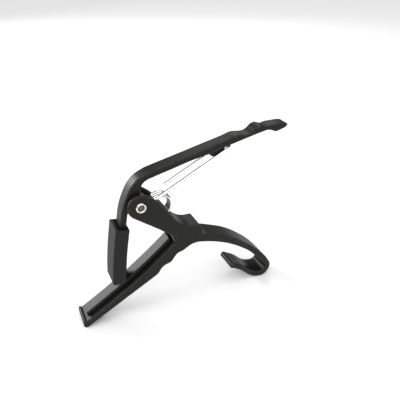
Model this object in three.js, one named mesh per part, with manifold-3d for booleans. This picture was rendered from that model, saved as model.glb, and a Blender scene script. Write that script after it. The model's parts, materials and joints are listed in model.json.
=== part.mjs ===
// Trigger capo with a bridge-pin hook, as a three.js scene graph.
//
// Millimetres, +Z up. The capo stands on the tip of its pad bar and on the bottom of its hook.
// Both levers are cast outlines in the XZ plane with their width along Y, so most shapes are drawn
// as [x, z] outlines measured from the tip of the bar, and the finished group is then moved so that
// the origin lies at the middle of its footprint.

import * as THREE from 'three';
import { mergeVertices } from 'three/addons/utils/BufferGeometryUtils.js';
import Module from 'manifold-3d';

const wasm = await Module();
wasm.setup();

// ---------------------------------------------------------------- driving dimensions

const CLEARANCE = 0.3;            // between pieces that touch or nest
const OVERCUT = 1;                // how far a bore's cutting tool runs past each face

const LEVER_WIDTH = 13.5;         // lower lever, across Y
const LEVER_EDGE = 0.5;           // rounding of the cast edges
const HANDLE_WIDTH = 7.6;         // upper lever, across Y
const SLOT_WIDTH = 8.2;           // slot between the two ears
const EAR_RADIUS = 6.6;
const LUG_RADIUS = 5.2;
const PIVOT = [33.8, 64.6];

const BORE_RADIUS = 2.3;
const RIVET_RADIUS = 2.2;
const RIVET_HOLE_RADIUS = 1.6;
const RIVET_HOLE_DEPTH = 2.2;
const RIVET_ROLL_RADIUS = 2.75;   // rolled end, near side
const RIVET_HEAD_RADIUS = 3.4;    // formed head, far side
const RIVET_STAND = 0.8;          // how far both ends stand out of the ears
const RIVET_SEAT = 0.08;          // gap between the ears and the rivet's two ends

const BAR_CENTRE = [-151.2, 271]; // centre of the curved pad bar
const LEDGE_RADIUS = 307.2;
const PAD_FACE_RADIUS = 304.8;    // a 12 inch fretboard
const PAD_FROM = -60;             // the pad's ends, in degrees about BAR_CENTRE
const PAD_TO = -49;
const PAD_WIDTH = 7.2;
const PAD_EDGE = 0.35;
const PAD_SEAT_DEPTH = 1;         // channel that the pad sits in
const END_LIP_HEIGHT = 1.2;       // beside the bar's tip
const STOP_LIP_HEIGHT = 0.9;      // beside the inner corner
const TIP_RADIUS = 1.6;           // the bar's rounded tip, which stands on the bench
const HOOK_RADIUS = 6.2;          // outside of the hook's bend, which stands on the bench
const HOOK_CENTRE_X = 105.3;
const FOOTPRINT_MIDDLE_X = 57.8;  // half way from the end lip to the thumb tip

const SLEEVE_WIDTH = 13;
const SLEEVE_EDGE = 0.6;          // rounding of the moulded edges
const SLEEVE_CAVITY_WIDTH = 8.2;
const SLEEVE_RIM_WIDTH = 10.6;    // wider pocket at the sleeve's mouth
const SLEEVE_RIM_Z = 49.5;        // floor of that pocket

const WIRE_DIAMETER = 1.8;
const COIL_CENTRE = [45.7, 61.1];
const COIL_RADIUS = 5.35;         // mean radius
const COIL_PITCH = 1.86;
const COIL_FULL_TURNS = 3;
const UPPER_LEG_ANGLE = 26.9;      // direction of the spring's legs, in degrees above +X
const UPPER_LEG_LENGTH = 45.9;    // from the coil to the far side of the U-bend
const LOWER_LEG_ANGLE = -37.7;
const LOWER_LEG_LENGTH = 9;
const BACK_LEG_LENGTH = 35.4;
const LEG_SPACING = 6.7;          // between the two upper legs, across Y

// ---------------------------------------------------------------- materials

function finish(color, roughness, metalness) {
  return new THREE.MeshStandardMaterial({ color, roughness, metalness });
}

const CAST_PAINT = finish(0x1b1b1a, 0.48, 0.35);
const PAD_RUBBER = finish(0x19191a, 0.75, 0);
const SLEEVE_RUBBER = finish(0x252526, 0.8, 0);
const SPRING_WIRE = finish(0xdadcdd, 0.16, 1);
const RIVET_METAL = finish(0xc9c7ba, 0.25, 1);

// ---------------------------------------------------------------- outlines

const radians = THREE.MathUtils.degToRad;

function polar(centre, radius, degrees) {
  const angle = radians(degrees);
  return [centre[0] + radius * Math.cos(angle), centre[1] + radius * Math.sin(angle)];
}

// Points of an arc, from one angle to another in degrees, both ends included.
function arc(centre, radius, from, to, step = 9) {
  const count = Math.max(1, Math.round(Math.abs(to - from) / step));
  const points = [];
  for (let i = 0; i <= count; i += 1) {
    points.push(polar(centre, radius, from + ((to - from) * i) / count));
  }
  return points;
}

// Points of a smooth curve through a few hand-placed ones.
function flow(through, perSpan = 4) {
  const curve = new THREE.SplineCurve(through.map(([x, z]) => new THREE.Vector2(x, z)));
  return curve.getPoints((through.length - 1) * perSpan).map((point) => [point.x, point.y]);
}

// One closed outline from several runs of points, with coinciding neighbours left out.
function outline(...runs) {
  const kept = [];
  for (const point of runs.flat()) {
    const last = kept[kept.length - 1];
    if (!last || Math.hypot(point[0] - last[0], point[1] - last[1]) > 0.05) {
      kept.push(point);
    }
  }
  return new THREE.Shape(kept.map(([x, z]) => new THREE.Vector2(x, z)));
}

// An [x, z] outline made solid across Y and centred on Y = 0, with its edges rounded by edge.
function slab(shape, width, edge = 0) {
  const geometry = new THREE.ExtrudeGeometry(shape, {
    depth: width - 2 * edge,
    bevelEnabled: edge > 0,
    bevelThickness: edge,
    bevelSize: edge,
    bevelOffset: -edge,
    bevelSegments: 2,
    steps: 1,
  });
  geometry.translate(0, 0, edge - width / 2);
  geometry.rotateX(Math.PI / 2);
  return geometry;
}

// A round bar along Y at an [x, z] point, used to bore holes.
function crossBar(centre, radius, length) {
  const geometry = new THREE.CylinderGeometry(radius, radius, length, 48);
  geometry.translate(centre[0], 0, centre[1]);
  return geometry;
}

// ---------------------------------------------------------------- solids

function toSolid(geometry) {
  const bare = geometry.clone();
  bare.deleteAttribute('normal');
  bare.deleteAttribute('uv');
  const merged = mergeVertices(bare, 1e-4);
  const mesh = new wasm.Mesh({
    numProp: 3,
    vertProperties: new Float32Array(merged.attributes.position.array),
    triVerts: new Uint32Array(merged.index.array),
  });
  return new wasm.Manifold(mesh);
}

function toGeometry(solid) {
  const { vertProperties, triVerts } = solid.getMesh();
  const geometry = new THREE.BufferGeometry();
  geometry.setAttribute('position', new THREE.BufferAttribute(vertProperties, 3));
  geometry.setIndex(new THREE.BufferAttribute(triVerts, 1));
  geometry.computeVertexNormals();
  return geometry;
}

function combine(base, { add = [], cut = [] }) {
  let solid = toSolid(base);
  for (const geometry of add) {
    solid = solid.add(toSolid(geometry));
  }
  for (const geometry of cut) {
    solid = solid.subtract(toSolid(geometry));
  }
  return toGeometry(solid);
}

function piece(name, geometry, material) {
  const mesh = new THREE.Mesh(geometry, material);
  mesh.name = name;
  return mesh;
}

// ---------------------------------------------------------------- lower lever

// The bar's upper side: an end lip, the long curved ledge, and a low lip beside the inner corner.
function barTop() {
  const lipFrom = -60.69;
  const lipTo = -60.45;
  const stopFrom = -48.84;
  const stopTo = -48.62;
  const corner = -48.42;
  return [
    polar(BAR_CENTRE, LEDGE_RADIUS - END_LIP_HEIGHT, lipFrom),
    polar(BAR_CENTRE, LEDGE_RADIUS - END_LIP_HEIGHT, lipTo),
    ...arc(BAR_CENTRE, LEDGE_RADIUS, lipTo, stopFrom, 0.6),
    polar(BAR_CENTRE, LEDGE_RADIUS - STOP_LIP_HEIGHT, stopFrom),
    polar(BAR_CENTRE, LEDGE_RADIUS - STOP_LIP_HEIGHT, stopTo),
    polar(BAR_CENTRE, LEDGE_RADIUS, stopTo),
    polar(BAR_CENTRE, LEDGE_RADIUS, corner),
  ];
}

function lowerLeverOutline() {
  const saddle = flow([[38.5, 69.3], [42.4, 66.1], [46.1, 61.5], [51.2, 54.2], [54.8, 50], [59.6, 47.3],
    [65.2, 46.8]]);
  const ridgeFoot = flow([[66.3, 44.6], [67.2, 42], [68.4, 40.1], [70.6, 38.9]]);
  const handleTop = flow([[70.6, 38.9], [77.2, 36.4], [84.2, 33.4], [90, 30], [95.2, 26.1], [100.2, 21.9],
    [105.2, 16.8], [108.4, 12.9], polar([HOOK_CENTRE_X, HOOK_RADIUS], HOOK_RADIUS, 36)]);
  const hookOutside = arc([HOOK_CENTRE_X, HOOK_RADIUS], HOOK_RADIUS, 36, -99);
  const bladeUnder = flow([polar([HOOK_CENTRE_X, HOOK_RADIUS], HOOK_RADIUS, -99), [101.1, 0.8], [97.8, 2.7],
    [94.4, 5.8], [90.9, 8.7], [87.2, 11]]);
  const tipBead = arc([86.3, 13.1], 1.8, 285, 75, 15);
  const bladeTop = flow([[88.4, 13.7], [91.4, 12], [94.2, 9.9], [97, 7.3], [100, 5.1], [103.4, 3.9]]);
  const hookInside = arc([105.5, 6.3], 2.7, -95, 40, 15);
  const handleUnder = flow([[105.2, 10.6], [102.7, 13.8], [100.4, 16.5], [97.6, 19.5], [94, 22.6],
    [87.4, 27.1], [80.4, 30.9], [72.3, 34], [64.6, 36]]);
  const fingerRests = flow([[64.6, 36], [60.8, 35.7], [58, 34.4], [55.4, 33], [52.4, 32.2], [50.4, 30.1],
    [48.4, 27.7], [45.2, 26.7], [42.9, 25.1], [41.2, 22.6], [38.6, 20.8]]);
  const barTip = arc([0.25, TIP_RADIUS], TIP_RADIUS, 300, 195, 15);
  const underEars = flow([[51, 42.4], [45.2, 47.6], [40.4, 51.4], [35.2, 55.3],
    polar(PIVOT, EAR_RADIUS, 235)]);
  const ears = arc(PIVOT, EAR_RADIUS, 235, 45);
  return outline(ears, saddle, ridgeFoot, handleTop, hookOutside, bladeUnder, tipBead, bladeTop,
    hookInside, handleUnder, fingerRests, barTip, barTop(), underEars.slice(0, -1));
}

// The slot between the ears: a floor parallel to their lower edge and an end wall below the saddle,
// with a round relief about the pivot for the upper lever's lug.
function earSlot() {
  const floor = outline([[35.6, 60.8], [49.3, 50.2], [51.9, 53.4], [56, 60], [56, 78], [24, 78],
    [24, 66], [33, 66]]);
  return [slab(floor, SLOT_WIDTH), crossBar(PIVOT, EAR_RADIUS + CLEARANCE, SLOT_WIDTH)];
}

function padSeat() {
  const margin = 0.06;
  const floorRadius = LEDGE_RADIUS + PAD_SEAT_DEPTH;
  const shape = outline(
    arc(BAR_CENTRE, floorRadius, PAD_FROM - margin, PAD_TO + margin, 1),
    arc(BAR_CENTRE, LEDGE_RADIUS - OVERCUT, PAD_TO + margin, PAD_FROM - margin, 1),
  );
  return slab(shape, PAD_WIDTH + 2 * CLEARANCE);
}

function lowerLever() {
  const body = slab(lowerLeverOutline(), LEVER_WIDTH, LEVER_EDGE);
  const bore = crossBar(PIVOT, BORE_RADIUS, LEVER_WIDTH + 2 * OVERCUT);
  const geometry = combine(body, { cut: [...earSlot(), padSeat(), bore] });
  return piece('lower_lever', geometry, CAST_PAINT);
}

function fretboardPad() {
  const baseRadius = LEDGE_RADIUS + PAD_SEAT_DEPTH - CLEARANCE;
  const shape = outline(
    arc(BAR_CENTRE, baseRadius, PAD_FROM, PAD_TO, 0.6),
    arc(BAR_CENTRE, PAD_FACE_RADIUS, PAD_TO, PAD_FROM, 0.6),
  );
  return piece('fretboard_pad', slab(shape, PAD_WIDTH, PAD_EDGE), PAD_RUBBER);
}

// ---------------------------------------------------------------- upper lever

function upperLeverOutline() {
  const tongueEnd = [[23.1, 30.4], [19.7, 30.4]];
  const armBack = flow([[19.7, 30.4], [20.6, 39], [21.9, 47], [23.4, 55.4], [24.9, 63], [27.1, 69],
    [30.3, 74.9], [34, 78.5], [39.2, 81]]);
  const handleTop = flow([[39.2, 81], [45.5, 82.5], [60, 85.8], [71.9, 88.6], [81.8, 90.9], [86.6, 92.2],
    [90, 91.9], [93, 91.7], [95.4, 92.4], [97.7, 94.3], [100.2, 95.3], [102.6, 94.5], [104.4, 94.2],
    [106.4, 94.7], [112, 94.8]]);
  const thumbTip = flow([[112, 94.8], [115.8, 94.5], [117, 93.4], [115.8, 92]]);
  const handleUnder = flow([[115.8, 92], [112.4, 91], [109.9, 90.6], [107.4, 91.6], [104.9, 92.1],
    [100.2, 91.3], [94.4, 90], [85, 87.9], [71.9, 84.8], [61.1, 82.7], [50.5, 80.1], [41.4, 77.9],
    [37.7, 76.6], [35.6, 74.2], [35, 70]]);
  const lug = arc(PIVOT, LUG_RADIUS, 70, -145);
  const armFront = flow([[27.9, 60.9], [27.1, 56.8], [26.4, 53.4], [25.2, 46.6], [24, 38.6], [23.1, 30.4]]);
  return outline(tongueEnd, armBack, handleTop, thumbTip, handleUnder, lug, armFront.slice(0, -1));
}

// The wedge under the handle that the spring's U-bend hooks around, as wide as fits between its legs.
function springBoss() {
  const width = LEG_SPACING - WIRE_DIAMETER - 2 * CLEARANCE;
  const shape = outline([[71.6, 86], [73.6, 82.5], [75, 82.2], [80.2, 84.6], [81.3, 85.8], [81.5, 89]]);
  return slab(shape, width);
}

function upperLever() {
  const body = slab(upperLeverOutline(), HANDLE_WIDTH, LEVER_EDGE);
  const bore = crossBar(PIVOT, BORE_RADIUS, HANDLE_WIDTH + 2 * OVERCUT);
  const geometry = combine(body, { add: [springBoss()], cut: [bore] });
  return piece('upper_lever', geometry, CAST_PAINT);
}

// ---------------------------------------------------------------- neck sleeve

function neckSleeve() {
  const back = flow([[16.4, 23], [17, 30.4], [17.8, 37.4], [18.6, 43.2], [19.6, 49.2], [20.5, 54.7]]);
  const front = flow([[27.6, 53.3], [26.7, 48.2], [25.7, 42.2], [24.7, 35.1], [24, 28.2], [23.5, 22.4]]);
  const body = slab(outline([[22.9, 21.65], [17.1, 21.9]], back, front), SLEEVE_WIDTH, SLEEVE_EDGE);
  const cavity = outline(
    [[23.4, 29.9], [19.3, 30]],
    flow([[19.3, 30], [20.2, 39], [21.5, 47], [22.9, 55.4]]),
    [[27.2, 56]],
    flow([[26.8, 53.6], [25.6, 46.6], [24.4, 38.6], [23.4, 29.9]]),
  );
  const mouth = outline([[21.6, SLEEVE_RIM_Z], [22.8, 56], [27.1, 56], [26.1, SLEEVE_RIM_Z]]);
  const geometry = combine(body, {
    cut: [slab(cavity, SLEEVE_CAVITY_WIDTH), slab(mouth, SLEEVE_RIM_WIDTH)],
  });
  return piece('neck_sleeve', geometry, SLEEVE_RUBBER);
}

// ---------------------------------------------------------------- pivot rivet

// Semi-tubular rivet: a domed head on the far side, and on the near side a rolled end with a hole.
function pivotRivet() {
  const farFace = LEVER_WIDTH / 2 + RIVET_STAND;
  const underHead = LEVER_WIDTH / 2 + RIVET_SEAT;
  const rollMiddle = (RIVET_ROLL_RADIUS + RIVET_HOLE_RADIUS) / 2;
  const profile = [
    [0, -farFace + RIVET_HOLE_DEPTH],
    [RIVET_HOLE_RADIUS, -farFace + RIVET_HOLE_DEPTH - 0.9],
    [RIVET_HOLE_RADIUS, -underHead],
    [RIVET_HOLE_RADIUS + 0.12, -farFace + 0.22],
    [rollMiddle, -farFace],
    [RIVET_ROLL_RADIUS - 0.14, -farFace + 0.24],
    [RIVET_ROLL_RADIUS, -underHead],
    [RIVET_RADIUS, -underHead],
    [RIVET_RADIUS, underHead],
    [RIVET_HEAD_RADIUS, underHead],
    [RIVET_HEAD_RADIUS - 0.3, underHead + 0.32],
    [RIVET_HEAD_RADIUS * 0.55, farFace - 0.1],
    [0, farFace],
  ];
  const geometry = new THREE.LatheGeometry(profile.map(([r, y]) => new THREE.Vector2(r, y)), 48);
  geometry.translate(PIVOT[0], 0, PIVOT[1]);
  return piece('pivot_rivet', toGeometry(toSolid(geometry)), RIVET_METAL);
}

// ---------------------------------------------------------------- torsion spring

// Centre line of the wire: the free leg, the U-bend around the boss, the working leg, the coil,
// and the short leg that bears on the floor of the ear slot.
function wireCentreLine() {
  const up = radians(UPPER_LEG_ANGLE);
  const coilFrom = UPPER_LEG_ANGLE + 90;
  const coilTo = LOWER_LEG_ANGLE + 270 + 360 * COIL_FULL_TURNS;
  const coilWidth = (COIL_PITCH * (coilTo - coilFrom)) / 360;
  const frontY = -coilWidth / 2;
  const bendRadius = LEG_SPACING / 2;
  const straight = UPPER_LEG_LENGTH - bendRadius;
  const [startX, startZ] = polar(COIL_CENTRE, COIL_RADIUS, coilFrom);
  const onLeg = (along, y) => {
    const [x, z] = [startX + along * Math.cos(up), startZ + along * Math.sin(up)];
    return new THREE.Vector3(x, y, z);
  };

  const points = [];
  for (let i = 0; i <= 8; i += 1) {
    points.push(onLeg(straight - BACK_LEG_LENGTH * (1 - i / 8), frontY + LEG_SPACING));
  }
  for (let degrees = 20; degrees < 180; degrees += 20) {
    const turn = radians(degrees);
    const y = frontY + bendRadius + bendRadius * Math.cos(turn);
    points.push(onLeg(straight + bendRadius * Math.sin(turn), y));
  }
  for (let i = 0; i < 9; i += 1) {
    points.push(onLeg(straight * (1 - i / 9), frontY));
  }
  const coilSteps = 72;
  for (let i = 0; i <= coilSteps; i += 1) {
    const share = i / coilSteps;
    const [x, z] = polar(COIL_CENTRE, COIL_RADIUS, coilFrom + share * (coilTo - coilFrom));
    points.push(new THREE.Vector3(x, frontY + share * coilWidth, z));
  }
  const end = points[points.length - 1];
  const down = radians(LOWER_LEG_ANGLE);
  for (let i = 1; i <= 3; i += 1) {
    const along = (LOWER_LEG_LENGTH * i) / 3;
    points.push(new THREE.Vector3(end.x + along * Math.cos(down), end.y, end.z + along * Math.sin(down)));
  }
  return new THREE.CatmullRomCurve3(points, false, 'centripetal');
}

function torsionSpring() {
  const section = new THREE.Shape();
  section.absarc(0, 0, WIRE_DIAMETER / 2, 0, 2 * Math.PI);
  const geometry = new THREE.ExtrudeGeometry(section, {
    extrudePath: wireCentreLine(),
    steps: 150,
    curveSegments: 5,
    bevelEnabled: false,
  });
  return piece('torsion_spring', toGeometry(toSolid(geometry)), SPRING_WIRE);
}

// ---------------------------------------------------------------- assembly

const capo = new THREE.Group();
capo.add(
  lowerLever(),
  fretboardPad(),
  upperLever(),
  neckSleeve(),
  pivotRivet(),
  torsionSpring(),
);

capo.position.x = -FOOTPRINT_MIDDLE_X;

export default capo;
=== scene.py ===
"""Trigger capo: the looks of its levers, pad, sleeve, rivet and spring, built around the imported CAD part.

Outlines are drawn as (x, z) points in millimetres, measured from the tip of the pad bar, and the finished
meshes are in metres in the row's frame.
"""

import json
import math

import bpy
import numpy as np
from mathutils import Matrix, Vector


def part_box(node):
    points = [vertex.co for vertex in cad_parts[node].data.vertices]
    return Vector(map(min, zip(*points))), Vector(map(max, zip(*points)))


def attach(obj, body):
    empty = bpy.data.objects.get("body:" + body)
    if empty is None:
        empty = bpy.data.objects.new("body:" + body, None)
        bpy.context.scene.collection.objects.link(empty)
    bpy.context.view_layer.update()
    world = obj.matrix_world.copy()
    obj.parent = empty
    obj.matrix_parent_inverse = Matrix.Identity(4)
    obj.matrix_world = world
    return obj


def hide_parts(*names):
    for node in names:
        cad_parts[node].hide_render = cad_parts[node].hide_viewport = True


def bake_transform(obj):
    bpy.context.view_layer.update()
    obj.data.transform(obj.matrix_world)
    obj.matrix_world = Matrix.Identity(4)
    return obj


bl_info = {
    "name": "Trigger Capo",
    "version": (1, 0, 0),
    "blender": (4, 5, 0),
    "location": "3D View > Sidebar > Capo",
    "description": "Builds a spring-loaded guitar capo with a bridge-pin hook",
    "category": "Add Mesh",
}

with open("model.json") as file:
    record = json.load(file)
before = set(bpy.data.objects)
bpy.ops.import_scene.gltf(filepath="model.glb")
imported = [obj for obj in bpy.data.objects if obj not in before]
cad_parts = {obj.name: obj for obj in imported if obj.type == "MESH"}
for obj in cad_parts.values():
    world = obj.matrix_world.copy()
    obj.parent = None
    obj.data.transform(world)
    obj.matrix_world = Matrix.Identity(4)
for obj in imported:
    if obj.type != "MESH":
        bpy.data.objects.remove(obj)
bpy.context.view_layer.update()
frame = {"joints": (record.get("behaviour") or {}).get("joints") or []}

MM = 0.001
FOOTPRINT_MIDDLE_X = 57.8  # drawing x of the frame's origin, in mm
LEVER_WIDTH = (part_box("lower_lever")[1].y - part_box("lower_lever")[0].y) / MM
HANDLE_WIDTH = (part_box("upper_lever")[1].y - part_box("upper_lever")[0].y) / MM
PAD_WIDTH = (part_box("fretboard_pad")[1].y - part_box("fretboard_pad")[0].y) / MM
SLEEVE_WIDTH = (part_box("neck_sleeve")[1].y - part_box("neck_sleeve")[0].y) / MM
PIVOT = (frame["joints"][0]["pos_m"][0] / MM + FOOTPRINT_MIDDLE_X, frame["joints"][0]["pos_m"][2] / MM)


# ------------------------------------------------------------------------------------------- outlines


def polar(centre, radius, degrees):
    angle = math.radians(degrees)
    return centre[0] + radius * math.cos(angle), centre[1] + radius * math.sin(angle)


def arc(centre, radius, start, end, step=3):
    """Points of an arc from one angle to another, in degrees, both ends included."""
    count = max(1, round(abs(end - start) / step))
    return [polar(centre, radius, start + (end - start) * i / count) for i in range(count + 1)]


def flow(through, per_span=10):
    """Points of a smooth curve through a few given ones."""
    known = np.array([through[0], *through, through[-1]], float)
    share = np.linspace(0, 1, per_span, endpoint=False)[:, None]
    points = []
    for before, start, end, after in zip(known, known[1:], known[2:], known[3:]):
        leave, arrive = (end - before) / 2, (after - start) / 2
        cubic = 2 * (start - end) + leave + arrive
        square = 3 * (end - start) - 2 * leave - arrive
        points.extend(map(tuple, ((cubic * share + square) * share + leave) * share + start))
    return [*points, tuple(through[-1])]


def outline(*runs):
    """One closed outline from several runs of points, with coinciding neighbours left out."""
    kept = []
    for point in (p for run in runs for p in run):
        if not kept or math.dist(point, kept[-1]) > 0.02:
            kept.append(tuple(point))
    return kept[:-1] if math.dist(kept[0], kept[-1]) < 0.02 else kept


# ------------------------------------------------------------------------------------- solids by distance


class Block:
    """A box of space cut into small cubes, where solids are worked out as signed distances to their skin,
    negative inside. Every size is in mm."""

    def __init__(self, node, step):
        low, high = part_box(node)
        margin = 3 * step
        self.step = step
        self.low = np.array([low.x / MM + FOOTPRINT_MIDDLE_X, low.y / MM, low.z / MM]) - margin
        top = np.array([high.x / MM + FOOTPRINT_MIDDLE_X, high.y / MM, high.z / MM]) + margin
        counts = np.ceil((top - self.low) / step).astype(int) + 1
        self.xs, self.ys, self.zs = (a + step * np.arange(n) for a, n in zip(self.low, counts))
        self.y = self.ys[None, :, None]

    def plane(self, shape):
        """Distance to a closed outline in the XZ plane, as one layer of the block."""
        gx, gz = np.meshgrid(self.xs, self.zs, indexing="ij")
        nearest = np.full(gx.shape, np.inf)
        inside = np.zeros(gx.shape, bool)
        for (ax, az), (bx, bz) in zip(shape, [*shape[1:], shape[0]]):
            ex, ez = bx - ax, bz - az
            px, pz = gx - ax, gz - az
            share = np.clip((px * ex + pz * ez) / (ex * ex + ez * ez), 0, 1)
            nearest = np.minimum(nearest, (px - share * ex) ** 2 + (pz - share * ez) ** 2)
            if az != bz:
                inside ^= ((az > gz) != (bz > gz)) & (gx < ax + (gz - az) * ex / ez)
        return (np.where(inside, -1, 1) * np.sqrt(nearest))[:, None, :]

    def slab(self, shape, width, edge=0.0):
        """A solid of one outline across Y, centred, with its edges rounded by edge. Width may vary."""
        side = np.abs(self.y) - width / 2 + edge
        rim = (self.plane(shape) if isinstance(shape, list) else shape) + edge
        return np.minimum(np.maximum(rim, side), 0) + np.hypot(np.maximum(rim, 0), np.maximum(side, 0)) - edge

    def cross_bar(self, centre, radius):
        """An endless round bar along Y."""
        return np.hypot(self.xs[:, None, None] - centre[0], self.zs[None, None, :] - centre[1]) - radius


def joined(a, b, soft=0.2):
    """Both solids as one, with a fillet of about soft where they meet."""
    near = np.clip(soft - np.abs(a - b), 0, None) / soft
    return np.minimum(a, b) - near * near * soft / 4


def cut(a, b, soft=0.2):
    """The first solid without the second, with the new edge rounded by about soft."""
    return -joined(-a, b, soft)


def cell_sums(crossing, share, axis):
    """Adds up, for each cube, its crossed edges along one axis and the places where they are crossed."""
    cells = [n - (i != axis) for i, n in enumerate(crossing.shape)]
    count = np.zeros(cells, np.float32)
    place = np.zeros([*cells, 3], np.float32)
    others = [i for i in range(3) if i != axis]
    for u in (0, 1):
        for v in (0, 1):
            window = [slice(None)] * 3
            window[others[0]] = slice(u, u + cells[others[0]])
            window[others[1]] = slice(v, v + cells[others[1]])
            here = crossing[tuple(window)].astype(np.float32)
            count += here
            place[..., axis] += here * share[tuple(window)]
            place[..., others[0]] += here * u
            place[..., others[1]] += here * v
    return count, place


def skin(block, field):
    """Vertices in metres and outward quads of the surface where the field is zero."""
    solid = field < 0
    count, place, crossings = 0, 0, []
    for axis in range(3):
        first = np.take(field, range(field.shape[axis] - 1), axis)
        second = np.take(field, range(1, field.shape[axis]), axis)
        crossing = (first < 0) != (second < 0)
        share = np.where(crossing, first / np.where(crossing, first - second, 1), 0)
        n, p = cell_sums(crossing, share, axis)
        count, place = count + n, place + p
        crossings.append(crossing)
    used = count > 0
    number = np.full(used.shape, -1)
    number[used] = np.arange(used.sum())
    corner = np.argwhere(used)
    inside_cell = place[used] / count[used][:, None]
    points = block.low + block.step * (corner + inside_cell)

    quads = []
    for axis, crossing in enumerate(crossings):
        u, v = (axis + 1) % 3, (axis + 2) % 3
        at = np.argwhere(crossing)
        ring = []
        for du, dv in ((-1, -1), (0, -1), (0, 0), (-1, 0)):
            cell = at.copy()
            cell[:, u] += du
            cell[:, v] += dv
            ring.append(number[tuple(cell.T)])
        ring = np.stack(ring, 1)
        outward = solid[tuple(at.T)]
        quads.append(np.where(outward[:, None], ring, ring[:, ::-1]))
    return (points - [FOOTPRINT_MIDDLE_X, 0, 0]) * MM, np.concatenate(quads)


def neighbour_mean(points, links, rounds):
    """Each vertex moved to the mean of its neighbours, several times over."""
    degree = np.bincount(links.ravel(), minlength=len(points))[:, None]
    for _ in range(rounds):
        total = np.zeros_like(points)
        np.add.at(total, links[:, 0], points[links[:, 1]])
        np.add.at(total, links[:, 1], points[links[:, 0]])
        points = total / degree
    return points


# --------------------------------------------------------------------------------------------- meshes


def new_piece(name, mesh, material, body, slot, *nodes):
    """An object for a finished mesh, riding on a body in place of its CAD nodes."""
    piece = bpy.data.objects.new(name, mesh)
    bpy.context.scene.collection.objects.link(piece)
    mesh.materials.clear()
    mesh.materials.append(material)
    if body:
        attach(piece, body)
    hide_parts(*nodes)
    return piece


def carved_mesh(name, block, field):
    """A closed smooth mesh of a solid, with an attribute that says how exposed each point's edge is."""
    points, quads = skin(block, field)
    mesh = bpy.data.meshes.new(name)
    mesh.from_pydata(points.tolist(), [], quads.tolist())
    mesh.update()
    mesh.shade_smooth()
    links = np.array([e.vertices for e in mesh.edges])
    relaxed = neighbour_mean(points, links, 1)
    points = points * 0.5 + relaxed * 0.5
    mesh.vertices.foreach_set("co", points.astype(np.float32).ravel())
    mesh.update()
    normals = np.zeros(len(points) * 3, np.float32)
    mesh.vertices.foreach_get("normal", normals)
    sunk = neighbour_mean(points, links, 6)
    bulge = ((points - sunk) * normals.reshape(-1, 3)).sum(1) / (block.step * MM)
    exposed = neighbour_mean(np.clip(bulge, -1, 1)[:, None], links, 1)
    attribute = mesh.attributes.new("exposed", "FLOAT", "POINT")
    attribute.data.foreach_set("value", exposed.astype(np.float32).ravel())
    return mesh


def turned_mesh(name, profile, centre, sides):
    """A closed mesh of revolution about an axis along Y: profile is (radius, y) from one end to the other."""
    points, rings = [], []
    for radius, y in profile:
        count = 1 if radius == 0 else sides
        rings.append(range(len(points), len(points) + count))
        for i in range(count):
            x, z = polar(centre, radius, 360 * i / sides)
            points.append(((x - FOOTPRINT_MIDDLE_X) * MM, y * MM, z * MM))
    faces = []
    for a, b in zip(rings, rings[1:]):
        for i in range(sides):
            j = (i + 1) % sides
            quad = [a[i % len(a)], b[i % len(b)], b[j % len(b)], a[j % len(a)]]
            faces.append(list(dict.fromkeys(quad)))
    mesh = bpy.data.meshes.new(name)
    mesh.from_pydata(points, [], faces)
    mesh.update()
    mesh.shade_smooth()
    return mesh


# ------------------------------------------------------------------------------------------ materials


class Value:
    """A number that varies over a surface. Sums and products of Values add Math nodes."""

    def __init__(self, paint, socket):
        self.paint, self.socket = paint, socket

    def _math(self, operation, *values):
        return self.paint.node("ShaderNodeMath", {"operation": operation}, dict(enumerate(values)))

    def __add__(self, other):
        return self._math("ADD", self, other)

    def __sub__(self, other):
        return self._math("SUBTRACT", self, other)

    def __rsub__(self, other):
        return self._math("SUBTRACT", other, self)

    def __mul__(self, other):
        return self._math("MULTIPLY", self, other)

    def __truediv__(self, other):
        return self._math("DIVIDE", self, other)

    __radd__ = __add__
    __rmul__ = __mul__

    def clamp(self):
        return self.paint.node(
            "ShaderNodeMath", {"operation": "ADD", "use_clamp": True}, {0: self, 1: 0.0}
        )

    def between(self, low, high):
        """0 below low, 1 above high and smooth in between."""
        settings = {"interpolation_type": "SMOOTHSTEP"}
        inputs = {"Value": self, "From Min": low, "From Max": high}
        return self.paint.node("ShaderNodeMapRange", settings, inputs)


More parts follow.
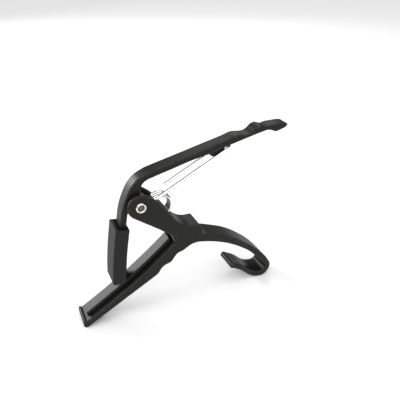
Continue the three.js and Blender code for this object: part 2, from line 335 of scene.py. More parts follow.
class Paint:
    """A material under construction, with one Principled shader."""

    def __init__(self, name):
        self.material = bpy.data.materials.new(name)
        self.material.use_nodes = True
        self.tree = self.material.node_tree
        self.tree.nodes.clear()
        self.shader = self.tree.nodes.new("ShaderNodeBsdfPrincipled")
        output = self.tree.nodes.new("ShaderNodeOutputMaterial")
        self.tree.links.new(self.shader.outputs["BSDF"], output.inputs["Surface"])

    def feed(self, socket, value):
        if isinstance(value, Value):
            self.tree.links.new(value.socket, socket)
        else:
            socket.default_value = value

    def node(self, kind, settings=None, inputs=None, output=0):
        """A node of any type: its settings come first, then the values or links of its sockets."""
        node = self.tree.nodes.new(kind)
        for name, value in (settings or {}).items():
            setattr(node, name, value)
        for name, value in (inputs or {}).items():
            self.feed(node.inputs[name], value)
        return Value(self, node.outputs[output])

    def place(self, centre=(0, 0, 0), scale=(1, 1, 1)):
        """Object coordinates measured from a point of the row's frame."""
        coordinates = self.node("ShaderNodeTexCoord", output="Object")
        shift = self.node("ShaderNodeVectorMath", {"operation": "SUBTRACT"}, {0: coordinates, 1: centre})
        return self.node("ShaderNodeVectorMath", {"operation": "MULTIPLY"}, {0: shift, 1: scale})

    def noise(self, size_mm, detail=2.0, roughness=0.5, where=None):
        """Noise from 0 to 1 with features about size_mm across."""
        inputs = {
            "Vector": where or self.place(),
            "Scale": 1 / (size_mm * MM),
            "Detail": detail,
            "Roughness": roughness,
        }
        return self.node("ShaderNodeTexNoise", inputs=inputs)

    def attribute(self, name):
        return self.node("ShaderNodeAttribute", {"attribute_name": name}, output="Fac")

    def mix(self, factor, a, b):
        node = self.tree.nodes.new("ShaderNodeMix")
        node.data_type = "RGBA"
        self.feed(node.inputs[0], factor)
        self.feed(node.inputs[6], a)
        self.feed(node.inputs[7], b)
        return Value(self, node.outputs[2])

    def bump(self, height, depth_mm, strength=1.0):
        inputs = {"Height": height, "Distance": depth_mm * MM, "Strength": strength}
        return self.node("ShaderNodeBump", inputs=inputs)

    def finish(self, **sockets):
        for name, value in sockets.items():
            self.feed(self.shader.inputs[name.replace("_", " ")], value)
        return self.material


def rgba(colour):
    return (*colour, 1.0)


def scaled(colour, factor):
    return tuple(min(1.0, c * factor) for c in colour)


def powder_coat(colours):
    """Black powder coat on an alloy casting: fine orange peel, and paler along its edges, partly from wear and
    partly a painted edge highlight.
    """
    paint = Paint("powder_coat")
    peel = paint.noise(0.55, 3.0, 0.55)
    cloud = paint.noise(9, 2.0)
    grain = paint.noise(0.16, 1.0)
    # paler convex edges: partly wear of the coat and partly a painted highlight along the edges
    edge_wear_and_sheen = (paint.attribute("exposed").between(0.1, 0.7) * paint.noise(1.4, 3.0).between(0.3, 0.65)).clamp()
    base = paint.mix(cloud, rgba(scaled(colours.cast, 0.8)), rgba(scaled(colours.cast, 1.2)))
    return paint.finish(
        Base_Color=paint.mix(edge_wear_and_sheen * 0.7, base, rgba(scaled(colours.cast, 8))),
        Roughness=0.36 + cloud * 0.1 + grain * 0.08 - edge_wear_and_sheen * 0.08,
        Normal=paint.bump(peel * 0.7 + grain * 0.3, 0.035, 0.5),
        Specular_IOR_Level=0.22,
    )


def rubber(name, colour, roughness, speck, shine):
    """Moulded rubber: matte, with a fine speckle, and paler edges that are partly a faint bloom and partly a
    painted sheen.
    """
    paint = Paint(name)
    pores = paint.noise(speck, 4.0, 0.7)
    cloud = paint.noise(6, 3.0)
    # paler convex edges: partly bloom on the rubber and partly a painted sheen along its edges
    edge_rub_and_sheen = paint.attribute("exposed").between(0.05, 0.6)
    base = paint.mix(cloud, rgba(scaled(colour, 0.85)), rgba(scaled(colour, 1.15)))
    return paint.finish(
        Base_Color=paint.mix((edge_rub_and_sheen * 0.35 + pores * 0.12).clamp(), base, rgba(scaled(colour, 2.2))),
        Roughness=roughness + (pores - 0.5) * 0.12,
        Normal=paint.bump(pores, 0.03, 0.6),
        Specular_IOR_Level=shine,
    )


def wire_steel(colours):
    """Bright plated spring wire, with faint drawing marks along its length."""
    paint = Paint("plated_wire")
    lengthwise = paint.node(
        "ShaderNodeCombineXYZ",
        inputs={0: paint.attribute("along") * 8.0, 1: paint.attribute("around") * 60.0, 2: 0.0},
    )
    drawn = paint.noise(1000.0, 2.0, 0.5, where=lengthwise)
    return paint.finish(
        Base_Color=paint.mix(drawn, rgba(scaled(colours.wire, 0.92)), rgba(colours.wire)),
        Metallic=1.0,
        Roughness=0.04 + drawn * 0.03,
    )


def rivet_steel(colours):
    """Nickel-plated rivet, marked in rings by the tool that rolled its end, rougher down its hole and darkened
    there by painted shade.
    """
    paint = Paint("plated_rivet")
    centre = ((PIVOT[0] - FOOTPRINT_MIDDLE_X) * MM, 0.0, PIVOT[1] * MM)
    flat = paint.place(centre, (1, 0, 1))
    radius = paint.node("ShaderNodeVectorMath", {"operation": "LENGTH"}, {0: flat}, output="Value")
    ring = paint.node("ShaderNodeCombineXYZ", inputs={0: radius, 1: 0.0, 2: 0.0})
    turned = paint.noise(0.12, 2.0, 0.6, where=ring)
    depth = paint.node("ShaderNodeSeparateXYZ", inputs={0: paint.place()}, output=1)
    # painted shade: dark olive colour down inside the rivet's hole; the same mask also makes it rougher there
    hollow = (1 - (radius / MM).between(1.45, 1.75)) * (depth / MM).between(-7.3, -6.6)
    bright = paint.mix(turned, rgba(scaled(colours.rivet, 0.85)), rgba(colours.rivet))
    return paint.finish(
        Base_Color=paint.mix(hollow, bright, rgba(colours.rivet_hole_shade)),
        Metallic=1.0,
        Roughness=0.16 + turned * 0.12 + hollow * 0.3,
        Normal=paint.bump(turned, 0.01, 0.4),
    )


# ------------------------------------------------------------------------------------------ properties


class CapoSizes(bpy.types.PropertyGroup):
    """Sizes that the looks may vary without changing how the capo works."""

    lever_edge: bpy.props.FloatProperty(
        name="Lever edge", description="Rounding of the lower lever's edges", default=0.55 * MM, unit="LENGTH"
    )
    handle_edge: bpy.props.FloatProperty(
        name="Handle edge", description="Rounding of the upper lever's edges", default=0.6 * MM, unit="LENGTH"
    )
    pad_edge: bpy.props.FloatProperty(
        name="Pad edge", description="Rounding of the pad's edges", default=0.45 * MM, unit="LENGTH"
    )
    sleeve_edge: bpy.props.FloatProperty(
        name="Sleeve edge", description="Rounding of the sleeve's edges", default=0.8 * MM, unit="LENGTH"
    )
    wire: bpy.props.FloatProperty(
        name="Wire", description="Diameter of the spring's wire", default=1.8 * MM, unit="LENGTH"
    )
    grid: bpy.props.FloatProperty(
        name="Grid", description="Size of the castings' grid cubes", default=0.3 * MM, unit="LENGTH"
    )


class CapoColours(bpy.types.PropertyGroup):
    """Colours of the capo's finishes."""

    cast: bpy.props.FloatVectorProperty(
        name="Powder coat", description="Both levers", subtype="COLOR", default=(0.0078, 0.0074, 0.0066)
    )
    pad: bpy.props.FloatVectorProperty(
        name="Pad", description="Fretboard pad", subtype="COLOR", default=(0.0035, 0.0035, 0.0035)
    )
    sleeve: bpy.props.FloatVectorProperty(
        name="Sleeve", description="Neck sleeve", subtype="COLOR", default=(0.006, 0.006, 0.0062)
    )
    wire: bpy.props.FloatVectorProperty(
        name="Wire", description="Torsion spring", subtype="COLOR", default=(0.86, 0.87, 0.88)
    )
    rivet: bpy.props.FloatVectorProperty(
        name="Rivet", description="Rolled end and head of the rivet", subtype="COLOR", default=(0.82, 0.8, 0.72)
    )
    # painted shade colour for the inside of the rivet's hole
    rivet_hole_shade: bpy.props.FloatVectorProperty(
        name="Rivet hole", description="Inside of the rivet", subtype="COLOR", default=(0.2, 0.19, 0.13)
    )
    floor: bpy.props.FloatVectorProperty(
        name="Floor", description="Bench that the capo stands on", subtype="COLOR", default=(0.86, 0.86, 0.86)
    )


def sizes():
    return bpy.context.scene.capo_sizes


def colours():
    return bpy.context.scene.capo_colours


# ------------------------------------------------------------------------------------------ lower lever

BAR_CENTRE = (-151.2, 271)
LEDGE_RADIUS = 307.2
PAD_FACE_RADIUS = 304.8
PAD_FROM, PAD_TO = -60, -49
PAD_SEAT_DEPTH = 1
END_LIP_HEIGHT = 1.2
STOP_LIP_HEIGHT = 0.9
TIP_RADIUS = 1.6
HOOK_RADIUS = 6.2
HOOK_CENTRE = (105.3, HOOK_RADIUS)
EAR_RADIUS = 6.6
LUG_RADIUS = 5.2
SLOT_WIDTH = 8.2
BORE_RADIUS = 2.3
CLEARANCE = 0.3


def bar_top():
    """The bar's upper side: an end lip, the long curved ledge, and a low lip beside the inner corner."""
    lip_from, lip_to, stop_from, stop_to, corner = -60.69, -60.45, -48.84, -48.62, -48.42
    return [
        polar(BAR_CENTRE, LEDGE_RADIUS - END_LIP_HEIGHT, lip_from),
        polar(BAR_CENTRE, LEDGE_RADIUS - END_LIP_HEIGHT, lip_to),
        *arc(BAR_CENTRE, LEDGE_RADIUS, lip_to, stop_from, 0.3),
        polar(BAR_CENTRE, LEDGE_RADIUS - STOP_LIP_HEIGHT, stop_from),
        polar(BAR_CENTRE, LEDGE_RADIUS - STOP_LIP_HEIGHT, stop_to),
        polar(BAR_CENTRE, LEDGE_RADIUS, stop_to),
        polar(BAR_CENTRE, LEDGE_RADIUS, corner),
    ]


def lower_outline():
    ears = arc(PIVOT, EAR_RADIUS, 235, 45)
    saddle = flow([(38.5, 69.3), (42.4, 66.1), (46.1, 61.5), (51.2, 54.2), (54.8, 50), (59.6, 47.3),
                   (65.2, 46.8)])
    ridge_foot = flow([(66.3, 44.6), (67.2, 42), (68.4, 40.1), (70.6, 38.9)])
    handle_top = flow([(70.6, 38.9), (77.2, 36.4), (84.2, 33.4), (90, 30), (95.2, 26.1), (100.2, 21.9),
                       (105.2, 16.8), (108.4, 12.9), polar(HOOK_CENTRE, HOOK_RADIUS, 36)])
    hook_outside = arc(HOOK_CENTRE, HOOK_RADIUS, 36, -99)
    blade_under = flow([polar(HOOK_CENTRE, HOOK_RADIUS, -99), (101.1, 0.8), (97.8, 2.7), (94.4, 5.8),
                        (90.9, 8.7), (87.2, 11)])
    tip_bead = arc((86.3, 13.1), 1.8, 285, 75, 8)
    blade_top = flow([(88.4, 13.7), (91.4, 12), (94.2, 9.9), (97, 7.3), (100, 5.1), (103.4, 3.9)])
    hook_inside = arc((105.5, 6.3), 2.7, -95, 40, 6)
    handle_under = flow([(105.2, 10.6), (102.7, 13.8), (100.4, 16.5), (97.6, 19.5), (94, 22.6), (87.4, 27.1),
                         (80.4, 30.9), (72.3, 34), (64.6, 36)])
    finger_rests = flow([(64.6, 36), (60.8, 35.7), (58, 34.4), (55.4, 33), (52.4, 32.2), (50.4, 30.1),
                         (48.4, 27.7), (45.2, 26.7), (42.9, 25.1), (41.2, 22.6), (38.6, 20.8)])
    bar_tip = arc((0.25, TIP_RADIUS), TIP_RADIUS, 300, 195, 8)
    under_ears = flow([(51, 42.4), (45.2, 47.6), (40.4, 51.4), (35.2, 55.3), polar(PIVOT, EAR_RADIUS, 235)])
    return outline(ears, saddle, ridge_foot, handle_top, hook_outside, blade_under, tip_bead, blade_top,
                   hook_inside, handle_under, finger_rests, bar_tip, bar_top(), under_ears[:-1])


def lower_lever_mesh():
    block = Block("lower_lever", sizes().grid / MM)
    body = block.slab(lower_outline(), LEVER_WIDTH, sizes().lever_edge / MM)
    floor = outline([(35.6, 60.8), (49.3, 50.2), (51.9, 53.4), (56, 60), (56, 78), (24, 78), (24, 66),
                     (33, 66)])
    slot = block.slab(floor, SLOT_WIDTH, 0.3)
    relief = block.slab(block.cross_bar(PIVOT, EAR_RADIUS + CLEARANCE), SLOT_WIDTH, 0.3)
    body = cut(body, joined(slot, relief, 0.4), 0.9)
    seat_floor = LEDGE_RADIUS + PAD_SEAT_DEPTH
    seat = outline(arc(BAR_CENTRE, seat_floor, PAD_FROM - 0.06, PAD_TO + 0.06, 0.5),
                   arc(BAR_CENTRE, LEDGE_RADIUS - 1, PAD_TO + 0.06, PAD_FROM - 0.06, 0.5))
    body = cut(body, block.slab(seat, PAD_WIDTH + 2 * CLEARANCE), 0.2)
    body = cut(body, block.cross_bar(PIVOT, BORE_RADIUS), 0.3)
    return carved_mesh("lower_casting", block, body)


class CAPO_OT_lower_lever(bpy.types.Operator):
    """Build the lower lever: pad bar, finger rests, ears, saddle, handle and hook in one casting"""

    bl_idname = "capo.lower_lever"
    bl_label = "Lower Lever"

    def execute(self, context):
        material = bpy.data.materials.get("powder_coat") or powder_coat(colours())
        new_piece("lower_casting", lower_lever_mesh(), material, "lower", "cast_paint", "lower_lever")
        return {"FINISHED"}


# ----------------------------------------------------------------------------------------- fretboard pad


def pad_mesh():
    block = Block("fretboard_pad", 0.25)
    shape = outline(arc(BAR_CENTRE, LEDGE_RADIUS + PAD_SEAT_DEPTH - CLEARANCE, PAD_FROM, PAD_TO, 0.3),
                    arc(BAR_CENTRE, PAD_FACE_RADIUS, PAD_TO, PAD_FROM, 0.3))
    return carved_mesh("pad_strip", block, block.slab(shape, PAD_WIDTH, sizes().pad_edge / MM))


class CAPO_OT_fretboard_pad(bpy.types.Operator):
    """Build the rubber strip that presses the strings"""

    bl_idname = "capo.fretboard_pad"
    bl_label = "Fretboard Pad"

    def execute(self, context):
        material = rubber("moulded_pad", colours().pad, 0.48, 0.35, 0.31)
        pad = new_piece("pad_strip", pad_mesh(), material, "lower", "pad_rubber", "fretboard_pad")
        return {"FINISHED"}


# ------------------------------------------------------------------------------------------ upper lever

LEG_SPACING = 6.7
WIRE_DIAMETER = 1.8


def upper_outline():
    tongue_end = [(23.1, 30.4), (19.7, 30.4)]
    arm_back = flow([(19.7, 30.4), (20.6, 39), (21.9, 47), (23.4, 55.4), (24.9, 63), (27.1, 69), (30.3, 74.9),
                     (34, 78.5), (39.2, 81)])
    handle_top = flow([(39.2, 81), (45.5, 82.5), (60, 85.8), (71.9, 88.6), (81.8, 90.9), (86.6, 92.2), (90, 91.9),
                       (93, 91.7), (95.4, 92.4), (97.7, 94.3), (100.2, 95.3), (102.6, 94.5), (104.4, 94.2),
                       (106.4, 94.7), (112, 94.8)])
    thumb_tip = flow([(112, 94.8), (115.8, 94.5), (117, 93.4), (115.8, 92)])
    handle_under = flow([(115.8, 92), (112.4, 91), (109.9, 90.6), (107.4, 91.6), (104.9, 92.1), (100.2, 91.3),
                         (94.4, 90), (85, 87.9), (71.9, 84.8), (61.1, 82.7), (50.5, 80.1), (41.4, 77.9),
                         (37.7, 76.6), (35.6, 74.2), (35, 70)])
    lug = arc(PIVOT, LUG_RADIUS, 70, -145)
    arm_front = flow([(27.9, 60.9), (27.1, 56.8), (26.4, 53.4), (25.2, 46.6), (24, 38.6), (23.1, 30.4)])
    return outline(tongue_end, arm_back, handle_top, thumb_tip, handle_under, lug, arm_front[:-1])


def upper_lever_mesh():
    block = Block("upper_lever", sizes().grid / MM)
    body = block.slab(upper_outline(), HANDLE_WIDTH, sizes().handle_edge / MM)
    wedge = outline([(71.6, 86), (73.6, 82.5), (75, 82.2), (80.2, 84.6), (81.3, 85.8), (81.5, 89)])
    boss = block.slab(wedge, LEG_SPACING - WIRE_DIAMETER - 2 * CLEARANCE, 0.3)
    body = joined(body, boss, 0.8)
    body = cut(body, block.cross_bar(PIVOT, BORE_RADIUS), 0.3)
    return carved_mesh("upper_casting", block, body)


class CAPO_OT_upper_lever(bpy.types.Operator):
    """Build the upper lever: arm, lug, handle and spring wedge in one casting"""

    bl_idname = "capo.upper_lever"
    bl_label = "Upper Lever"

    def execute(self, context):
        material = bpy.data.materials.get("powder_coat") or powder_coat(colours())
        new_piece("upper_casting", upper_lever_mesh(), material, "upper", "cast_paint", "upper_lever")
        return {"FINISHED"}


# ------------------------------------------------------------------------------------------ neck sleeve

SLEEVE_CAVITY_WIDTH = 8.2
SLEEVE_RIM_WIDTH = 10.6
SLEEVE_RIM_Z = 49.5


def sleeve_mesh():
    block = Block("neck_sleeve", 0.25)
    back = flow([(16.4, 23), (17, 30.4), (17.8, 37.4), (18.6, 43.2), (19.6, 49.2), (20.5, 54.7)])
    front = flow([(27.6, 53.3), (26.7, 48.2), (25.7, 42.2), (24.7, 35.1), (24, 28.2), (23.5, 22.4)])
    body = block.slab(outline([(22.9, 21.65), (17.1, 21.9)], back, front), SLEEVE_WIDTH, sizes().sleeve_edge / MM)
    cavity = outline([(23.4, 29.9), (19.3, 30)], flow([(19.3, 30), (20.2, 39), (21.5, 47), (22.9, 55.4)]),
                     [(27.2, 56)], flow([(26.8, 53.6), (25.6, 46.6), (24.4, 38.6), (23.4, 29.9)]))
    mouth = outline([(21.6, SLEEVE_RIM_Z), (22.8, 56), (27.1, 56), (26.1, SLEEVE_RIM_Z)])
    body = cut(body, block.slab(cavity, SLEEVE_CAVITY_WIDTH), 0.2)
    body = cut(body, block.slab(mouth, SLEEVE_RIM_WIDTH), 0.5)
    return carved_mesh("sleeve_boot", block, body)


class CAPO_OT_neck_sleeve(bpy.types.Operator):
    """Build the rubber sleeve that presses the back of the neck"""

    bl_idname = "capo.neck_sleeve"
    bl_label = "Neck Sleeve"

    def execute(self, context):
        material = rubber("moulded_sleeve", colours().sleeve, 0.6, 0.28, 0.26)
        new_piece("sleeve_boot", sleeve_mesh(), material, "upper", "sleeve_rubber", "neck_sleeve")
        return {"FINISHED"}


# ----------------------------------------------------------------------------------------------- rivet

RIVET_RADIUS = 2.2
RIVET_HOLE_RADIUS = 1.6
RIVET_HOLE_DEPTH = 2.2
RIVET_ROLL_RADIUS = 2.75
RIVET_HEAD_RADIUS = 3.4
RIVET_STAND = 0.8
RIVET_SEAT = 0.08


def rivet_mesh():
    """A semi-tubular rivet: a domed head on the far side, and a rolled end round a hole on the near side."""
    far = LEVER_WIDTH / 2 + RIVET_STAND
    seat = LEVER_WIDTH / 2 + RIVET_SEAT
    roll_width = RIVET_ROLL_RADIUS - RIVET_HOLE_RADIUS
    roll_height = far - seat
    roll_middle = RIVET_HOLE_RADIUS + roll_width / 2
    rolled = [(roll_middle - roll_width / 2 * math.cos(t), -seat - roll_height * math.sin(t))
              for t in np.linspace(0, math.pi, 18)]
    dome = [(RIVET_HEAD_RADIUS * math.cos(t) ** 0.8, seat + 0.25 + (far - seat - 0.25) * math.sin(t))
            for t in np.linspace(0, math.pi / 2, 12)[:-1]]
    hollow = [(RIVET_HOLE_RADIUS * math.sin(t), -far + RIVET_HOLE_DEPTH - 0.9 * (1 - math.cos(t)))
              for t in np.linspace(0, math.pi / 2, 10)[1:]]
    profile = [
        (0, -far + RIVET_HOLE_DEPTH),
        *hollow,
        *rolled,
        (RIVET_RADIUS + 0.12, -seat),
        (RIVET_RADIUS, -seat + 0.1),
        (RIVET_RADIUS, seat - 0.1),
        (RIVET_RADIUS + 0.12, seat),
        (RIVET_HEAD_RADIUS - 0.1, seat),
        (RIVET_HEAD_RADIUS, seat + 0.1),
        *dome,
        (0, far),
    ]
    return turned_mesh("rivet_pin", profile, PIVOT, 72)


class CAPO_OT_pivot_rivet(bpy.types.Operator):
    """Build the rivet that both levers turn on"""

    bl_idname = "capo.pivot_rivet"
    bl_label = "Pivot Rivet"

    def execute(self, context):
        new_piece("rivet_pin", rivet_mesh(), rivet_steel(colours()), "lower", "rivet_metal", "pivot_rivet")
        return {"FINISHED"}


# ---------------------------------------------------------------------------------------------- spring

COIL_CENTRE = (45.7, 61.1)
COIL_RADIUS = 5.35
COIL_PITCH = 1.86
COIL_FULL_TURNS = 3
UPPER_LEG_ANGLE = 26.9
UPPER_LEG_LENGTH = 45.9
LOWER_LEG_ANGLE = -37.7
LOWER_LEG_LENGTH = 9
BACK_LEG_LENGTH = 35.4


def wire_path():
    """Centre line of the wire: free leg, U-bend, working leg, coil, and the short leg on the slot's floor."""
    coil_from = UPPER_LEG_ANGLE + 90
    coil_to = LOWER_LEG_ANGLE + 270 + 360 * COIL_FULL_TURNS
    coil_width = COIL_PITCH * (coil_to - coil_from) / 360
    front = -coil_width / 2
    bend = LEG_SPACING / 2
    straight = UPPER_LEG_LENGTH - bend
    start = polar(COIL_CENTRE, COIL_RADIUS, coil_from)

    def on_leg(along, y):
        x, z = polar(start, along, UPPER_LEG_ANGLE)
        return x, y, z

    points = [on_leg(a, front + LEG_SPACING) for a in np.linspace(straight - BACK_LEG_LENGTH, straight, 60)]
    for turn in np.linspace(0, math.pi, 25)[1:-1]:
        points.append(on_leg(straight + bend * math.sin(turn), front + bend + bend * math.cos(turn)))
    points += [on_leg(a, front) for a in np.linspace(straight, 0, 60)[:-1]]
    for share in np.linspace(0, 1, 200):
        x, z = polar(COIL_CENTRE, COIL_RADIUS, coil_from + share * (coil_to - coil_from))
        points.append((x, front + share * coil_width, z))
    end = points[-1]
    for along in np.linspace(0, LOWER_LEG_LENGTH, 14)[1:]:
        x, z = polar((end[0], end[2]), along, LOWER_LEG_ANGLE)
        points.append((x, end[1], z))
    return [((x - FOOTPRINT_MIDDLE_X) * MM, y * MM, z * MM) for x, y, z in points]


def wire_tree(material):
    """Geometry Nodes that sweep a round wire along a line of edges and soften its two cut ends."""
    tree = bpy.data.node_groups.new("drawn_wire", "GeometryNodeTree")
    tree.interface.new_socket("Line", in_out="INPUT", socket_type="NodeSocketGeometry")
    tree.interface.new_socket("Diameter", in_out="INPUT", socket_type="NodeSocketFloat")
    tree.interface.new_socket("Sides", in_out="INPUT", socket_type="NodeSocketInt")
    tree.interface.new_socket("Wire", in_out="OUTPUT", socket_type="NodeSocketGeometry")

    def node(kind, settings=None, inputs=None):
        made = tree.nodes.new(kind)
        for name, value in (settings or {}).items():
            setattr(made, name, value)
        for name, value in (inputs or {}).items():
            if isinstance(value, bpy.types.NodeSocket):
                tree.links.new(value, made.inputs[name])
            else:
                made.inputs[name].default_value = value
        return made

    given = node("NodeGroupInput").outputs
    line = node("GeometryNodeMeshToCurve", inputs={"Mesh": given["Line"]}).outputs["Curve"]
    run = node("GeometryNodeSplineParameter").outputs
    total = node("GeometryNodeSplineLength").outputs["Length"]
    to_end = node("ShaderNodeMath", {"operation": "SUBTRACT"}, {0: total, 1: run["Length"]}).outputs[0]
    nearest_end = node("ShaderNodeMath", {"operation": "MINIMUM"}, {0: to_end, 1: run["Length"]}).outputs[0]
    taper = node(
        "ShaderNodeMapRange",
        {"interpolation_type": "SMOOTHERSTEP"},
        {"Value": nearest_end, "From Min": -0.3 * MM, "From Max": 0.4 * MM, "To Min": 0.4, "To Max": 1.0},
    ).outputs[0]
    line = node("GeometryNodeSetCurveRadius", inputs={"Curve": line, "Radius": taper}).outputs[0]
    stored = {"data_type": "FLOAT", "domain": "POINT"}
    line = node(
        "GeometryNodeStoreNamedAttribute", stored, {"Geometry": line, "Name": "along", "Value": run["Length"]}
    ).outputs[0]
    radius = node("ShaderNodeMath", {"operation": "DIVIDE"}, {0: given["Diameter"], 1: 2.0}).outputs[0]
    ring = node("GeometryNodeCurvePrimitiveCircle", inputs={"Resolution": given["Sides"], "Radius": radius})
    ring = node(
        "GeometryNodeStoreNamedAttribute",
        stored,
        {
            "Geometry": ring.outputs[0],
            "Name": "around",
            "Value": node("GeometryNodeSplineParameter").outputs["Factor"],
        },
    ).outputs[0]
    swept = node("GeometryNodeCurveToMesh", inputs={"Curve": line, "Profile Curve": ring, "Fill Caps": True})
    smooth = node("GeometryNodeSetShadeSmooth", inputs={"Geometry": swept.outputs[0]}).outputs[0]
    real = node("GeometryNodeRealizeInstances", inputs={"Geometry": smooth}).outputs[0]
    painted = node("GeometryNodeSetMaterial", inputs={"Geometry": real, "Material": material}).outputs[0]
    node("NodeGroupOutput", inputs={"Wire": painted})
    return tree


def spring_mesh(material):
    points = wire_path()
    line = bpy.data.meshes.new("wire_line")
    line.from_pydata(points, [(i, i + 1) for i in range(len(points) - 1)], [])
    holder = bpy.data.objects.new("wire_line", line)
    bpy.context.scene.collection.objects.link(holder)
    tree = wire_tree(material)
    modifier = holder.modifiers.new("sweep", "NODES")
    modifier.node_group = tree
    wanted = {"Diameter": sizes().wire, "Sides": 24}
    for item in tree.interface.items_tree:
        if item.name in wanted:
            modifier[item.identifier] = wanted[item.name]
    depsgraph = bpy.context.evaluated_depsgraph_get()
    mesh = bpy.data.meshes.new_from_object(holder.evaluated_get(depsgraph))
    mesh.name = "spring_wire"
    holder.modifiers.remove(modifier)
    bpy.data.objects.remove(holder)
    return mesh


SPRING_BEND_LENGTH = 32  # a length along the upper legs: the spring operator works out the point at this distance, but nothing uses it


class CAPO_OT_torsion_spring(bpy.types.Operator):
    """Build the wire spring that closes the jaw"""

    bl_idname = "capo.torsion_spring"
    bl_label = "Torsion Spring"

    def execute(self, context):
        material = wire_steel(colours())
        mesh = spring_mesh(material)
        spring = new_piece("spring_coil", mesh, material, None, "spring_wire", "torsion_spring")
        leg = polar(COIL_CENTRE, COIL_RADIUS, UPPER_LEG_ANGLE + 90)
        start = leg
        end = polar(leg, SPRING_BEND_LENGTH, UPPER_LEG_ANGLE)
        (start[0] - FOOTPRINT_MIDDLE_X) * MM
        start[1] * MM
        (end[0] - FOOTPRINT_MIDDLE_X) * MM
        end[1] * MM
        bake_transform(spring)
        return {"FINISHED"}


# ----------------------------------------------------------------------------------------------- stage


def softbox(name, place, aim, size, watts, colour=(1, 1, 1)):
    light = bpy.data.lights.new(name, "AREA")
    light.shape = "RECTANGLE"
    light.size, light.size_y = size
    light.energy = watts
    light.color = colour
    lamp = bpy.data.objects.new(name, light)
    bpy.context.scene.collection.objects.link(lamp)
    lamp.location = place
    lamp.rotation_euler = (Vector(aim) - Vector(place)).to_track_quat("-Z", "Y").to_euler()
    return lamp


def add_camera():
    """A long-ish lens at the near left, looking down on the capo, with verticals upright."""
    camera = bpy.data.cameras.new("camera")
    camera.sensor_width = 36
    camera.lens = 42.3
    camera.clip_start = 0.01
    camera.clip_end = 50
    viewer = bpy.data.objects.new("camera", camera)
    bpy.context.scene.collection.objects.link(viewer)
    azimuth, elevation = math.radians(-24.5), math.radians(29.42)
    right = Vector((math.cos(azimuth), math.sin(azimuth), 0))
    back = Vector((math.sin(azimuth) * math.cos(elevation), -math.cos(azimuth) * math.cos(elevation),
                   math.sin(elevation)))
    viewer.matrix_world = Matrix.Translation((-0.0793, -0.1968, 0.1796)) @ Matrix(
        (right, back.cross(right), back)).transposed().to_4x4()
    bpy.context.scene.camera = viewer


def floor_material():
    paint = Paint("bench")
    haze = paint.noise(400, 2.0)
    return paint.finish(
        Base_Color=paint.mix(haze, rgba(scaled(colours().floor, 0.985)), rgba(colours().floor)),
        Roughness=0.9,
        Specular_IOR_Level=0.1,
    )


def studio_world():
    """A room brightest overhead and toward the viewer, dim behind; seen directly, as pale as the bench."""
    world = bpy.data.worlds.new("studio")
    world.use_nodes = True
    tree = world.node_tree
    tree.nodes.clear()
    lean = tree.nodes.new("ShaderNodeVectorMath")
    lean.operation = "DOT_PRODUCT"
    lean.inputs[1].default_value = (0, -0.35, 0.8)
    tree.links.new(tree.nodes.new("ShaderNodeTexCoord").outputs["Generated"], lean.inputs[0])
    height = tree.nodes.new("ShaderNodeMapRange")
    height.interpolation_type = "SMOOTHSTEP"
    for name, value in (("From Min", 0.3), ("From Max", 0.75), ("To Min", 0.04), ("To Max", 1.9)):
        height.inputs[name].default_value = value
    room = tree.nodes.new("ShaderNodeBackground")
    backdrop = tree.nodes.new("ShaderNodeBackground")
    backdrop.inputs["Color"].default_value = (0.95, 0.95, 0.95, 1)
    seen = tree.nodes.new("ShaderNodeLightPath").outputs["Is Camera Ray"]
    mixed = tree.nodes.new("ShaderNodeMixShader")
    output = tree.nodes.new("ShaderNodeOutputWorld")
    for start, end in (
        (lean.outputs["Value"], height.inputs["Value"]),
        (height.outputs[0], room.inputs["Strength"]),
        (seen, mixed.inputs[0]),
        (room.outputs[0], mixed.inputs[1]),
        (backdrop.outputs[0], mixed.inputs[2]),
        (mixed.outputs[0], output.inputs["Surface"]),
    ):
        tree.links.new(start, end)
    return world


BENCH_SIZE = 12.0
BENCH_DROP = 0.0001
# each softbox: where it stands, what it faces, its size and its watts
SOFTBOXES = {
    "key": ((-0.75, 0.2, 0.5), (-0.02, 0, 0.05), (0.8, 0.7), 2),
    "back_left": ((-0.47, 0.8, 0.33), (-0.02, 0, 0.06), (0.26, 0.34), 7),
    "back_right": ((0.35, 0.8, 0.45), (0, 0, 0.05), (0.4, 0.3), 1.1),
    "front": ((-0.35, -1.1, 0.75), (0, 0, 0.05), (1.2, 0.6), 3.5),
    "top": ((0.1, 0.1, 1.1), (0, 0, 0.05), (1.0, 1.0), 1.5),
}


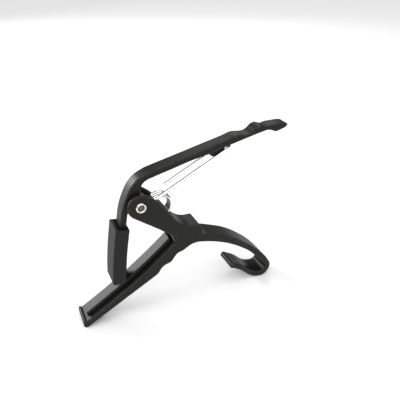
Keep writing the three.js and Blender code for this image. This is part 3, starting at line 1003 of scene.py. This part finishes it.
class CAPO_OT_stage(bpy.types.Operator):
    """Set up the bench, the soft lights and the camera"""

    bl_idname = "capo.stage"
    bl_label = "Stage"

    def execute(self, context):
        half = BENCH_SIZE / 2
        corners = [(-half, -half, 0), (half, -half, 0), (half, half, 0), (-half, half, 0)]
        mesh = bpy.data.meshes.new("bench")
        mesh.from_pydata(corners, [], [(0, 1, 2, 3)])
        mesh.materials.append(floor_material())
        bench = bpy.data.objects.new("bench", mesh)
        bpy.context.scene.collection.objects.link(bench)
        bench.location.z = -BENCH_DROP

        context.scene.world = studio_world()
        context.scene.view_settings.view_transform = "Standard"

        for name, (place, aim, size, watts) in SOFTBOXES.items():
            softbox(name, place, aim, size, watts)
        add_camera()
        return {"FINISHED"}


# ----------------------------------------------------------------------------------------------- add-on

STEPS = (
    CAPO_OT_lower_lever,
    CAPO_OT_fretboard_pad,
    CAPO_OT_upper_lever,
    CAPO_OT_neck_sleeve,
    CAPO_OT_pivot_rivet,
    CAPO_OT_torsion_spring,
    CAPO_OT_stage,
)


class CAPO_PT_sidebar(bpy.types.Panel):
    """The capo's sizes, colours and building steps"""

    bl_label = "Trigger Capo"
    bl_idname = "CAPO_PT_sidebar"
    bl_space_type = "VIEW_3D"
    bl_region_type = "UI"
    bl_category = "Capo"

    def draw(self, context):
        for group in (context.scene.capo_sizes, context.scene.capo_colours):
            column = self.layout.column()
            for name in group.__annotations__:
                column.prop(group, name)
        for step in STEPS:
            self.layout.operator(step.bl_idname)


CLASSES = (CapoSizes, CapoColours, *STEPS, CAPO_PT_sidebar)


def register():
    for made in CLASSES:
        bpy.utils.register_class(made)
    bpy.types.Scene.capo_sizes = bpy.props.PointerProperty(type=CapoSizes)
    bpy.types.Scene.capo_colours = bpy.props.PointerProperty(type=CapoColours)


def unregister():
    del bpy.types.Scene.capo_colours
    del bpy.types.Scene.capo_sizes
    for made in reversed(CLASSES):
        bpy.utils.unregister_class(made)


def main():
    register()
    for step in STEPS:
        group, name = step.bl_idname.split(".")
        getattr(getattr(bpy.ops, group), name)()


if __name__ == "__main__":
    main()
